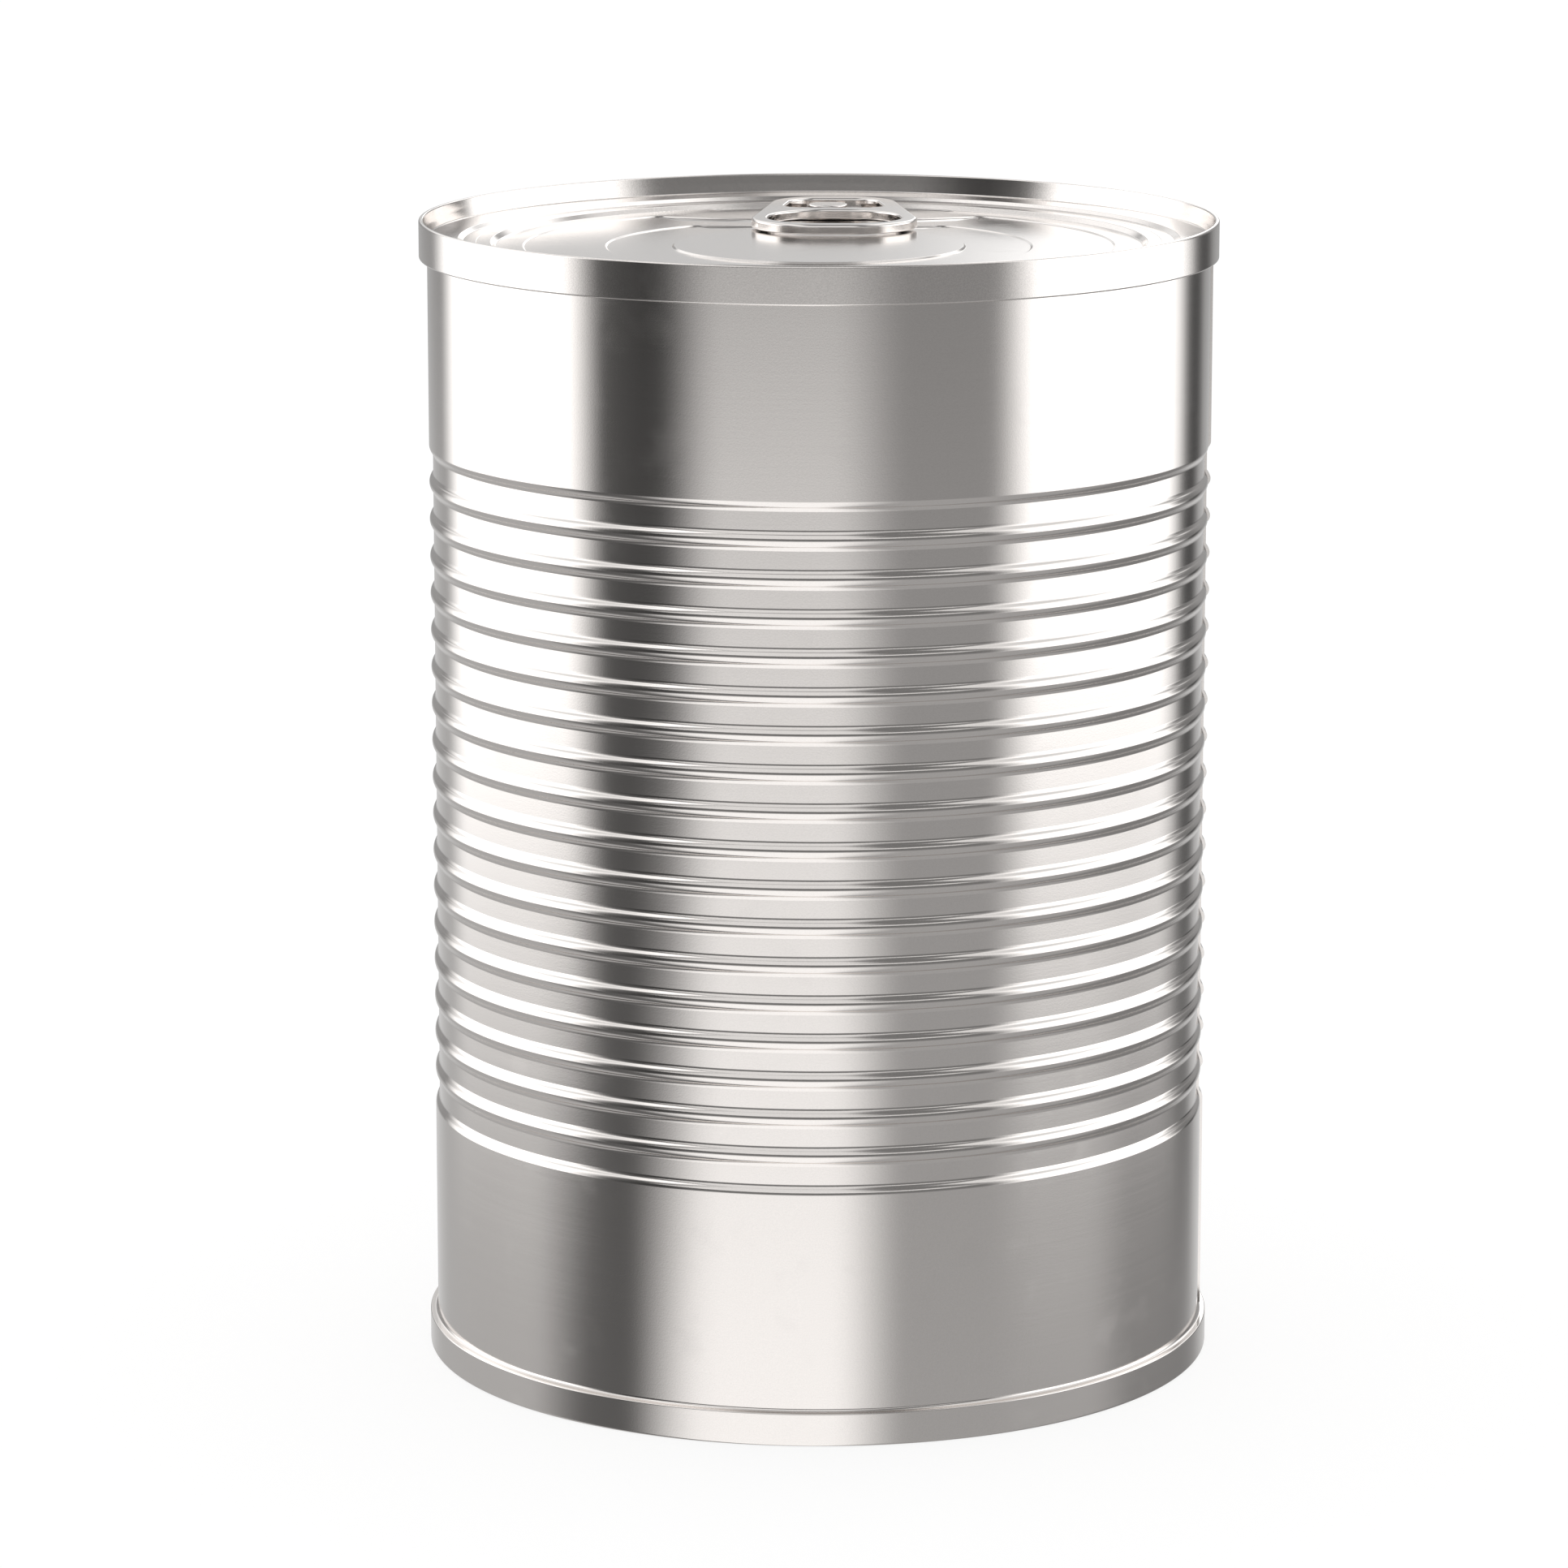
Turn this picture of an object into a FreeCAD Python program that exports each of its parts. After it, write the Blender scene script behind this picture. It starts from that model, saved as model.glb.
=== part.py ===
"""Filled food can with a ring-pull end: beaded body, easy-open top end, pull tab and bottom end.

Millimetres, +Z up. The origin is the middle of the base, the front of the can faces -Y and the
pull tab lies on the +Y half of the top end with its ring pointing to the front.
"""
import FreeCAD, Part
import math
import os

from FreeCAD import Vector

# ---------------------------------------------------------------- whole can
CAN_HEIGHT = 110.0
BODY_RADIUS = 37.24            # outside of the plain bands of the body
SEAM_PROUD = 0.78              # how far both double seams stand out from the body

# ---------------------------------------------------------------- beaded body
TOP_BAND = 18.35               # plain band from the top seam to the first half bead
BOTTOM_BAND = 21.19            # plain band from the bottom seam to the last half bead
BEAD_PITCH = 3.59
BEAD_HEIGHT = 0.37             # crest above valley; crests are level with the plain bands
BEAD_CREST_RADIUS = 0.85
BEAD_VALLEY_RADIUS = 0.63
END_VALLEY = 3.12              # least distance from a half bead to the nearest full bead
FOOT_FILLET = 0.30             # body flares into the top of the bottom seam

# ---------------------------------------------------------------- lap side seam of the body sheet
LAP_THICKNESS = 0.30
LAP_WIDTH = 5.0
LAP_EDGE_DEG = 0.0             # the cut edge faces the front from the +X side

# ---------------------------------------------------------------- top seam and easy-open end
TOP_SEAM_HEIGHT = 3.60
SEAM_TOP_FILLET = 0.20
SEAM_LOWER_FILLET = 0.15
RIM_THICKNESS = 0.40
RIM_INNER_FILLET = 0.15
WALL_TAPER = 0.15              # the chuck wall leans in by this much on its way down
WALL_DEPTH = 1.80              # rim top to the ledge under the chuck wall
LEDGE_WIDTH = 3.15
LEDGE_FALL = 0.07
RING_STEP_RUN = 0.50
RING_DEPTH = 2.17              # rim top to the scored ring
SCORE_INSET = 1.27             # from the foot of the ring step to the score line
SCORE_WIDTH = 0.20
SCORE_DEPTH = 0.06
SCORE_TO_PANEL = 1.32
PANEL_STEP_RUN = 0.48
PANEL_DEPTH = 2.60             # rim top to the panel
STEP_FILLET = 0.18
WALL_FOOT_FILLET = 0.12

# ---------------------------------------------------------------- outlines pressed into the panel
OUTER_FIELD_MARGIN = 2.55      # panel edge to the outer outline
INNER_FIELD_MARGIN = 7.86      # outer outline to the inner outline
PLATFORM_MARGIN = 6.34         # inner outline to the raised round platform in the middle
FIELD_STEP = 0.10
FIELD_RUN = 0.22
FIELD_CORNER_DEG = 52.0        # where the round outline turns into its back edge
FIELD_CORNER_RADIUS = 2.0
OUTER_FIELD_DIP = 2.8
INNER_FIELD_DIP = 1.0
PLATFORM_RISE = 0.18
PLATFORM_RUN = 0.25
PLATFORM_FILLET = 0.10
BACK_BEAD_INSET = 0.34         # short bead behind the tab, from the panel edge to its centre
BACK_BEAD_WIDTH = 0.50
BACK_BEAD_HEIGHT = 0.10
BACK_BEAD_HALF_DEG = 24.0

# ---------------------------------------------------------------- pull tab and its rivet
TAB_LENGTH = 24.7
TAB_RING_HALF_WIDTH = 9.04     # where the sides would meet the front edge if it were square
TAB_NOSE_HALF_WIDTH = 5.58     # where they would meet the nose edge
TAB_RING_CORNER = 6.6
TAB_NOSE_CORNER = 5.2
TAB_THICKNESS = 1.06
TAB_SIDE_BAR = 1.57
TAB_REAR_SIDE_BAR = 1.80
TAB_FRONT_BAR = 1.7
TAB_NOSE_BAR = 2.0
TAB_CROSSBAR = 1.8
FINGER_HOLE_LENGTH = 11.35
FINGER_HOLE_FRONT_CORNER = 5.0
FINGER_HOLE_BACK_CORNER = 5.6
REAR_OPENING_FRONT_CORNER = 1.9
REAR_OPENING_BACK_CORNER = 2.6
TAB_EDGE_FILLET = 0.30
TAB_HOLE_FILLET = 0.24
TAB_NOSE_REACH = 0.55          # the nose reaches this far past the panel edge, over the ring
TAB_NOSE_RELIEF = 0.12         # clearance under the nose, over the ring
TAB_RELIEF_INSET = 0.85        # panel edge to where the relief under the nose starts
TAB_SIDE_SHIFT = 1.50          # the tab sits this far right of the middle
TONGUE_THICKNESS = 0.50
TONGUE_HALF_WIDTH = 2.7
TONGUE_FRONT_GAP = 0.8
RIVET_SHANK_RADIUS = 1.30
RIVET_CLEARANCE = 0.05
RIVET_HEAD_RADIUS = 1.93
RIVET_HEAD_THICKNESS = 0.48
RIVET_HEAD_FILLET = 0.14
RIVET_NOSE_DISTANCE = 6.2      # rivet centre to the nose edge of the tab
RIVET_SIDE_SHIFT = 0.90

# ---------------------------------------------------------------- bottom seam and bottom end
BOTTOM_SEAM_HEIGHT = 3.15
BOTTOM_SEAM_PROUD = 0.73
BOTTOM_SEAM_TOP_FILLET = 0.10
BOTTOM_SEAM_FOOT_FILLET = 0.25
BOTTOM_SEAM_THICKNESS = 1.25
BOTTOM_WALL_TAPER = 0.35
GROOVE_DEPTH = 2.70            # base to the roof of the countersink groove
GROOVE_WIDTH = 1.30
BOTTOM_STEP_RUN = 0.90
BOTTOM_RING_DEPTH = 1.55
BOTTOM_RING_WIDTH = 2.20
BOTTOM_PANEL_DEPTH = 2.05
BOTTOM_PANEL_RING = 6.0
BOTTOM_CENTRE_DEPTH = 1.65
BOTTOM_FILLET = 0.30

OVERCUT = 1.0                  # cutting tools reach this far past the face they cut

# ---------------------------------------------------------------- sizes that follow
seam_radius = BODY_RADIUS + SEAM_PROUD
top_seam_z = CAN_HEIGHT - TOP_SEAM_HEIGHT
valley_radius = BODY_RADIUS - BEAD_HEIGHT

wall_top_radius = seam_radius - RIM_THICKNESS
wall_foot_radius = wall_top_radius - WALL_TAPER
ledge_radius = wall_foot_radius - LEDGE_WIDTH
ring_radius = ledge_radius - RING_STEP_RUN
score_radius = ring_radius - SCORE_INSET
panel_step_radius = score_radius - SCORE_TO_PANEL
panel_radius = panel_step_radius - PANEL_STEP_RUN
panel_z = CAN_HEIGHT - PANEL_DEPTH

outer_field_radius = panel_radius - OUTER_FIELD_MARGIN
inner_field_radius = outer_field_radius - INNER_FIELD_MARGIN
platform_radius = inner_field_radius - PLATFORM_MARGIN

nose_y = panel_radius + TAB_NOSE_REACH
ring_y = nose_y - TAB_LENGTH
rivet_y = nose_y - RIVET_NOSE_DISTANCE
hole_front_y = ring_y + TAB_FRONT_BAR
hole_back_y = hole_front_y + FINGER_HOLE_LENGTH
opening_front_y = hole_back_y + TAB_CROSSBAR
opening_back_y = nose_y - TAB_NOSE_BAR


def corner_arc(before, corner, after, radius):
    """Start, middle and end of the arc that rounds one corner of an outline."""
    to_before = (before - corner).normalize()
    to_after = (after - corner).normalize()
    half = to_before.getAngle(to_after) / 2
    reach = radius / math.tan(half)
    bisector = (to_before + to_after).normalize()
    centre = corner + bisector * (radius / math.sin(half))
    middle = centre - bisector * radius
    return corner + to_before * reach, middle, corner + to_after * reach


def rounded_edges(points, radii, closed):
    """Edges through the points, with an arc of the given radius at each corner (0 leaves it sharp)."""
    count = len(points)
    entries = []
    exits = []
    edges = []
    for i, corner in enumerate(points):
        at_end = not closed and i in (0, count - 1)
        if radii[i] == 0 or at_end:
            entries.append(corner)
            exits.append(corner)
            continue
        start, middle, end = corner_arc(points[i - 1], corner, points[(i + 1) % count], radii[i])
        entries.append(start)
        exits.append(end)
        edges.append((i, Part.Arc(start, middle, end).toShape()))
    spans = count if closed else count - 1
    for i in range(spans):
        edges.append((i + 0.5, Part.LineSegment(exits[i], entries[(i + 1) % count]).toShape()))
    return [edge for _, edge in sorted(edges, key=lambda item: item[0])]


def section(radius, z):
    """A point of a section that is turned about the can's axis."""
    return Vector(radius, 0, z)


def turned(edges, degrees=360.0):
    """Solid made by turning a closed section about the can's axis."""
    face = Part.Face(Part.Wire(edges))
    return face.revolve(Vector(0, 0, 0), Vector(0, 0, 1), degrees)


def wire_at(wire, z):
    """Copy of a flat outline moved up to height z."""
    copy = wire.copy()
    copy.translate(Vector(0, 0, z))
    return copy


# ---------------------------------------------------------------- body
def s_step(r_from, z_from, r_to, upward_fillets):
    """Two tangent arcs that carry the wall upward from one radius to another.

    upward_fillets gives the radius of the first arc and of the second.
    """
    first, second = upward_fillets
    rise = abs(r_to - r_from)
    angle = math.acos(1 - rise / (first + second))
    run = (first + second) * math.sin(angle)
    side = math.copysign(1, r_to - r_from)

    def on_first(turn):
        return section(r_from + side * first * (1 - math.cos(turn)), z_from + first * math.sin(turn))

    def on_second(turn):
        return section(r_to - side * second * (1 - math.cos(turn)), z_from + run - second * math.sin(turn))

    lower = Part.Arc(on_first(0), on_first(angle / 2), on_first(angle))
    upper = Part.Arc(on_first(angle), on_second(angle / 2), on_second(0))
    return [lower.toShape(), upper.toShape()], z_from + run


def bead_centres():
    """Heights of the full beads, evenly pitched and centred between the two half beads."""
    low = BOTTOM_SEAM_HEIGHT + BOTTOM_BAND
    high = top_seam_z - TOP_BAND
    spaces = math.floor((high - low - 2 * END_VALLEY) / BEAD_PITCH + 0.01)
    first = (low + high - spaces * BEAD_PITCH) / 2
    return [first + i * BEAD_PITCH for i in range(spaces + 1)]


def body_wall(z_low, z_high, outset):
    """Outer wall of the body from bottom to top, pushed out by outset."""
    total = BEAD_CREST_RADIUS + BEAD_VALLEY_RADIUS
    half_run = total * math.sin(math.acos(1 - BEAD_HEIGHT / total))
    outward = (BEAD_VALLEY_RADIUS, BEAD_CREST_RADIUS)
    inward = (BEAD_CREST_RADIUS, BEAD_VALLEY_RADIUS)
    crest = BODY_RADIUS + outset
    valley = valley_radius + outset
    steps = [(BOTTOM_SEAM_HEIGHT + BOTTOM_BAND - half_run / 2, crest, valley, inward)]
    for centre in bead_centres():
        steps.append((centre - half_run, valley, crest, outward))
        steps.append((centre, crest, valley, inward))
    steps.append((top_seam_z - TOP_BAND - half_run / 2, valley, crest, outward))
    edges = []
    here = section(crest, z_low)
    for z_start, r_from, r_to, fillets in steps:
        start = section(r_from, z_start)
        if here.distanceToPoint(start) > 1e-6:
            edges.append(Part.LineSegment(here, start).toShape())
        arcs, z_end = s_step(r_from, z_start, r_to, fillets)
        edges += arcs
        here = section(r_to, z_end)
    edges.append(Part.LineSegment(here, section(crest, z_high)).toShape())
    return edges


def make_body():
    """Filled body: plain bands, beads between them, foot flare and the lap of its side seam."""
    foot_z = BOTTOM_SEAM_HEIGHT
    flare = Part.Arc(
        section(BODY_RADIUS + FOOT_FILLET, foot_z),
        section(
            BODY_RADIUS + FOOT_FILLET * (1 - math.sin(math.pi / 4)),
            foot_z + FOOT_FILLET * (1 - math.cos(math.pi / 4)),
        ),
        section(BODY_RADIUS, foot_z + FOOT_FILLET),
    )
    wall = body_wall(foot_z + FOOT_FILLET, top_seam_z, 0.0)
    lid_line = Part.LineSegment(section(BODY_RADIUS, top_seam_z), section(0, top_seam_z))
    axis_line = Part.LineSegment(section(0, top_seam_z), section(0, foot_z))
    base_line = Part.LineSegment(section(0, foot_z), section(BODY_RADIUS + FOOT_FILLET, foot_z))
    edges = [base_line.toShape(), flare.toShape()] + wall + [lid_line.toShape(), axis_line.toShape()]
    return turned(edges).fuse(make_lap())


def make_lap():
    """Outer layer of the lapped side seam, which follows the beads."""
    core = valley_radius - LAP_WIDTH
    wall = body_wall(BOTTOM_SEAM_HEIGHT, top_seam_z, LAP_THICKNESS)
    outer = BODY_RADIUS + LAP_THICKNESS
    top = Part.LineSegment(section(outer, top_seam_z), section(core, top_seam_z))
    inner = Part.LineSegment(section(core, top_seam_z), section(core, BOTTOM_SEAM_HEIGHT))
    base = Part.LineSegment(section(core, BOTTOM_SEAM_HEIGHT), section(outer, BOTTOM_SEAM_HEIGHT))
    lap = turned(wall + [top.toShape(), inner.toShape(), base.toShape()],
                 math.degrees(LAP_WIDTH / BODY_RADIUS))
    lap.rotate(Vector(0, 0, 0), Vector(0, 0, 1), LAP_EDGE_DEG)
    return lap


# ---------------------------------------------------------------- easy-open top end
def top_end_blank():
    """Double seam, chuck wall, ledge, scored ring and flat panel, turned in one piece."""
    ring_z = CAN_HEIGHT - RING_DEPTH
    half_score = SCORE_WIDTH / 2
    outline = [
        (0, top_seam_z, 0),
        (seam_radius, top_seam_z, SEAM_LOWER_FILLET),
        (seam_radius, CAN_HEIGHT, SEAM_TOP_FILLET),
        (wall_top_radius, CAN_HEIGHT, RIM_INNER_FILLET),
        (wall_foot_radius, CAN_HEIGHT - WALL_DEPTH, WALL_FOOT_FILLET),
        (ledge_radius, CAN_HEIGHT - WALL_DEPTH - LEDGE_FALL, STEP_FILLET),
        (ring_radius, ring_z, STEP_FILLET),
        (score_radius + half_score, ring_z, 0),
        (score_radius, ring_z - SCORE_DEPTH, 0),
        (score_radius - half_score, ring_z, 0),
        (panel_step_radius, ring_z, STEP_FILLET),
        (panel_radius, panel_z, STEP_FILLET),
        (0, panel_z, 0),
    ]
    points = [section(r, z) for r, z, _ in outline]
    return turned(rounded_edges(points, [fillet for _, _, fillet in outline], True))


def field_outline(radius, dip):
    """Round outline in the panel whose back edge runs in under the tab and dips to the front."""
    corner = math.radians(FIELD_CORNER_DEG)
    right = Vector(radius * math.cos(corner), radius * math.sin(corner), 0)
    left = Vector(-right.x, right.y, 0)
    front = Part.Arc(right, Vector(0, -radius, 0), left)
    back = Part.Arc(left, Vector(0, right.y - dip, 0), right)
    sharp = Part.Wire([front.toShape(), back.toShape()])
    pulled_in = sharp.makeOffset2D(-FIELD_CORNER_RADIUS)
    return pulled_in.makeOffset2D(FIELD_CORNER_RADIUS)


def field_cut(outline, z):
    """Cutter that lowers the inside of an outline by one step, with a sloping edge."""
    wide = wire_at(outline.makeOffset2D(FIELD_RUN), z + FIELD_STEP)
    narrow = wire_at(outline.makeOffset2D(-FIELD_RUN), z - FIELD_STEP)
    return Part.makeLoft([wide, narrow], True, True)


def platform(z):
    """Low round platform with a sloping edge, on the floor of the inner outline."""
    root = z - OVERCUT / 4
    top = z + PLATFORM_RISE
    outline = [
        (0, root, 0),
        (platform_radius, root, 0),
        (platform_radius, z, 0),
        (platform_radius - PLATFORM_RUN, top, PLATFORM_FILLET),
        (0, top, 0),
    ]
    points = [section(r, height) for r, height, _ in outline]
    return turned(rounded_edges(points, [fillet for _, _, fillet in outline], True))


def back_bead():
    """Short rounded bead in the panel behind the nose of the tab."""
    centre = panel_radius - BACK_BEAD_INSET
    half = BACK_BEAD_WIDTH / 2
    low = panel_z - OVERCUT / 4
    points = [section(centre - half, low), section(centre - half, panel_z)]
    crown = Part.Arc(points[1], section(centre, panel_z + BACK_BEAD_HEIGHT), section(centre + half, panel_z))
    sides = [
        Part.LineSegment(points[0], points[1]),
        crown,
        Part.LineSegment(section(centre + half, panel_z), section(centre + half, low)),
        Part.LineSegment(section(centre + half, low), points[0]),
    ]
    bead = turned([side.toShape() for side in sides], 2 * BACK_BEAD_HALF_DEG)
    bead.rotate(Vector(0, 0, 0), Vector(0, 0, 1), 90 - BACK_BEAD_HALF_DEG)
    return bead


def make_rivet():
    """Rivet drawn up out of the panel, through the tab's tongue, and headed over it."""
    foot = Vector(RIVET_SIDE_SHIFT, rivet_y, panel_z - OVERCUT / 4)
    seat_z = panel_z + TONGUE_THICKNESS
    shank = Part.makeCylinder(RIVET_SHANK_RADIUS, seat_z - foot.z, foot)
    head = Part.makeCylinder(RIVET_HEAD_RADIUS, RIVET_HEAD_THICKNESS, Vector(foot.x, foot.y, seat_z))
    rims = [edge for edge in head.Edges if isinstance(edge.Curve, Part.Circle)]
    head = head.makeFillet(RIVET_HEAD_FILLET, rims)
    return shank.fuse(head)


def make_top_end():
    """Easy-open end with its pressed outlines, round platform, back bead and rivet."""
    end = top_end_blank()
    outer = field_outline(outer_field_radius, OUTER_FIELD_DIP)
    inner = field_outline(inner_field_radius, INNER_FIELD_DIP)
    end = end.cut(field_cut(outer, panel_z))
    end = end.cut(field_cut(inner, panel_z - FIELD_STEP))
    end = end.fuse(platform(panel_z - 2 * FIELD_STEP))
    end = end.fuse(back_bead())
    return end.fuse(make_rivet()).removeSplitter()


# ---------------------------------------------------------------- pull tab
def tab_half_width(y):
    """Half width of the tab's straight side at a distance along its length."""
    along = (y - ring_y) / TAB_LENGTH
    return TAB_RING_HALF_WIDTH + (TAB_NOSE_HALF_WIDTH - TAB_RING_HALF_WIDTH) * along


def tapered_wire(y_front, y_back, front_radius, back_radius, side_bar):
    """Four-sided outline with round corners whose sides keep a bar's width inside the tab's."""
    front = tab_half_width(y_front) - side_bar
    back = tab_half_width(y_back) - side_bar
    points = [
        Vector(-front, y_front, 0),
        Vector(front, y_front, 0),
        Vector(back, y_back, 0),
        Vector(-back, y_back, 0),
    ]
    return Part.Wire(rounded_edges(points, [front_radius, front_radius, back_radius, back_radius], True))


def raised(wire, z, height):
    """Solid from a flat outline, from height z upward."""
    return Part.Face(wire_at(wire, z)).extrude(Vector(0, 0, height))


def level_edges(solid, z):
    """Edges that lie wholly in the plane at height z."""
    found = []
    for edge in solid.Edges:
        box = edge.BoundBox
        if abs(box.ZMin - z) < 1e-4 and abs(box.ZMax - z) < 1e-4:
            found.append(edge)
    return found


def make_tab():
    """Ring pull: finger ring, crossbar and nose, with a tongue held down by the rivet."""
    top_z = panel_z + TAB_THICKNESS
    outline = tapered_wire(ring_y, nose_y, TAB_RING_CORNER, TAB_NOSE_CORNER, 0.0)
    blank = raised(outline, panel_z, TAB_THICKNESS)
    blank = blank.makeFillet(TAB_EDGE_FILLET, level_edges(blank, panel_z) + level_edges(blank, top_z))
    hole = tapered_wire(
        hole_front_y, hole_back_y, FINGER_HOLE_FRONT_CORNER, FINGER_HOLE_BACK_CORNER, TAB_SIDE_BAR
    )
    opening = tapered_wire(
        opening_front_y,
        opening_back_y,
        REAR_OPENING_FRONT_CORNER,
        REAR_OPENING_BACK_CORNER,
        TAB_REAR_SIDE_BAR,
    )
    through = TAB_THICKNESS + 2 * OVERCUT
    tab = blank.cut(raised(hole, panel_z - OVERCUT, through))
    tab = tab.cut(raised(opening, panel_z - OVERCUT, through))
    hole_rims = [e for z in (panel_z, top_z) for e in level_edges(tab, z) if inside_tab(e)]
    tab = tab.makeFillet(TAB_HOLE_FILLET, hole_rims)
    tab = tab.fuse(make_tongue())
    tab = tab.removeSplitter()
    tab.translate(Vector(TAB_SIDE_SHIFT, 0, 0))
    shank_hole = Part.makeCylinder(
        RIVET_SHANK_RADIUS + RIVET_CLEARANCE, through, Vector(RIVET_SIDE_SHIFT, rivet_y, panel_z - OVERCUT)
    )
    return tab.cut(shank_hole).cut(nose_relief())


def nose_relief():
    """Ring-shaped cutter that clears the panel step and the raised ring under the nose."""
    inner = panel_radius - TAB_RELIEF_INSET
    low = panel_z - OVERCUT
    top = CAN_HEIGHT - RING_DEPTH + TAB_NOSE_RELIEF
    whole = Part.makeCylinder(seam_radius, top - low, Vector(0, 0, low))
    return whole.cut(Part.makeCylinder(inner, top - low, Vector(0, 0, low)))


def inside_tab(edge):
    """True for an edge that belongs to the rim of one of the tab's two openings."""
    middle = edge.valueAt((edge.FirstParameter + edge.LastParameter) / 2)
    reach = TAB_EDGE_FILLET + TAB_SIDE_BAR / 4
    within_length = ring_y + reach < middle.y < nose_y - reach
    return within_length and abs(middle.x) < tab_half_width(middle.y) - reach


def make_tongue():
    """Thin plate that reaches forward from the nose bar and lies under the rivet's head."""
    front = opening_front_y + TONGUE_FRONT_GAP
    back = opening_back_y + TAB_NOSE_BAR / 2
    points = [
        Vector(-TONGUE_HALF_WIDTH, front, 0),
        Vector(TONGUE_HALF_WIDTH, front, 0),
        Vector(TONGUE_HALF_WIDTH, back, 0),
        Vector(-TONGUE_HALF_WIDTH, back, 0),
    ]
    radius = TONGUE_HALF_WIDTH * 0.8
    outline = Part.Wire(rounded_edges(points, [radius, radius, 0, 0], True))
    return raised(outline, panel_z, TONGUE_THICKNESS)


# ---------------------------------------------------------------- bottom end
def make_bottom_end():
    """Bottom seam that the can stands on, countersink groove and ringed bottom panel."""
    outer = BODY_RADIUS + BOTTOM_SEAM_PROUD
    foot_inner = outer - BOTTOM_SEAM_THICKNESS
    groove_outer = foot_inner - BOTTOM_WALL_TAPER
    groove_inner = groove_outer - GROOVE_WIDTH
    ring_outer = groove_inner - BOTTOM_STEP_RUN
    ring_inner = ring_outer - BOTTOM_RING_WIDTH
    panel_outer = ring_inner - BOTTOM_STEP_RUN
    panel_inner = panel_outer - BOTTOM_PANEL_RING
    centre = panel_inner - BOTTOM_STEP_RUN
    outline = [
        (0, BOTTOM_SEAM_HEIGHT, 0),
        (outer, BOTTOM_SEAM_HEIGHT, BOTTOM_SEAM_TOP_FILLET),
        (outer, 0, BOTTOM_SEAM_FOOT_FILLET),
        (foot_inner, 0, BOTTOM_SEAM_FOOT_FILLET),
        (groove_outer, GROOVE_DEPTH, BOTTOM_FILLET),
        (groove_inner, GROOVE_DEPTH, BOTTOM_FILLET),
        (ring_outer, BOTTOM_RING_DEPTH, BOTTOM_FILLET),
        (ring_inner, BOTTOM_RING_DEPTH, BOTTOM_FILLET),
        (panel_outer, BOTTOM_PANEL_DEPTH, BOTTOM_FILLET),
        (panel_inner, BOTTOM_PANEL_DEPTH, BOTTOM_FILLET),
        (centre, BOTTOM_CENTRE_DEPTH, BOTTOM_FILLET),
        (0, BOTTOM_CENTRE_DEPTH, 0),
    ]
    points = [section(r, z) for r, z, _ in outline]
    return turned(rounded_edges(points, [fillet for _, _, fillet in outline], True))


# ---------------------------------------------------------------- files
PIECES = {
    "can_body": make_body,
    "top_end": make_top_end,
    "pull_tab": make_tab,
    "bottom_end": make_bottom_end,
}

os.makedirs("parts", exist_ok=True)
for node, make in PIECES.items():
    shape = make()
    solid = shape.Solids[0] if len(shape.Solids) == 1 else shape
    print(node, "solids", len(shape.Solids), "valid", shape.isValid(), "volume", round(shape.Volume, 2))
    solid.exportStep("parts/" + node + ".step")
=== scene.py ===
"""Looks of a shut food can: bright tinplate, beaded body, seamed ends and a ring pull.

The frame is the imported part's: the origin is the middle of the base, +Z is up and the front is -Y.
Lengths are written in millimetres and become metres where a mesh is made.
"""

import logging
import math
from dataclasses import dataclass
from enum import Enum
from typing import Sequence

import bpy
import numpy as np
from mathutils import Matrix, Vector
from mathutils.geometry import tessellate_polygon

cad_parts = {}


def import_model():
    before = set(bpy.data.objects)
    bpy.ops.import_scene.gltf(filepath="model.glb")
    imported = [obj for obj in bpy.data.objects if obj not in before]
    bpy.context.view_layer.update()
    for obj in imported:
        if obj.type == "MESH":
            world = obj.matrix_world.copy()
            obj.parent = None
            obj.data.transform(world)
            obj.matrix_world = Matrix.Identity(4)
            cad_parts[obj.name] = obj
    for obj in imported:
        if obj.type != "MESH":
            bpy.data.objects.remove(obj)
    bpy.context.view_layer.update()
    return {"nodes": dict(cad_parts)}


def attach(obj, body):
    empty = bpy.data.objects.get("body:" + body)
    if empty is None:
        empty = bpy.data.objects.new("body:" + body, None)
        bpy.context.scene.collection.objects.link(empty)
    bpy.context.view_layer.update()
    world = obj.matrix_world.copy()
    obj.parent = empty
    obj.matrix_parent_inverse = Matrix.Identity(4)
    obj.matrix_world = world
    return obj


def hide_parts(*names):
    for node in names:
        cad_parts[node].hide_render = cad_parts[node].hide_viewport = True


LOG = logging.getLogger("food_can")
MM = 0.001
TINY = 1e-7
WHITE = (1.0, 1.0, 1.0, 1.0)

Array = np.ndarray
Object = bpy.types.Object
Place = tuple[float, float]


def put_in_scene(name: str, data: bpy.types.ID) -> Object:
    """Makes an object from its data.

    Args:
        name: the object's name.
        data: a mesh or a camera.

    Returns:
        The new object, linked to the scene.
    """
    made = bpy.data.objects.new(name, data)
    bpy.context.scene.collection.objects.link(made)
    return made


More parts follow.
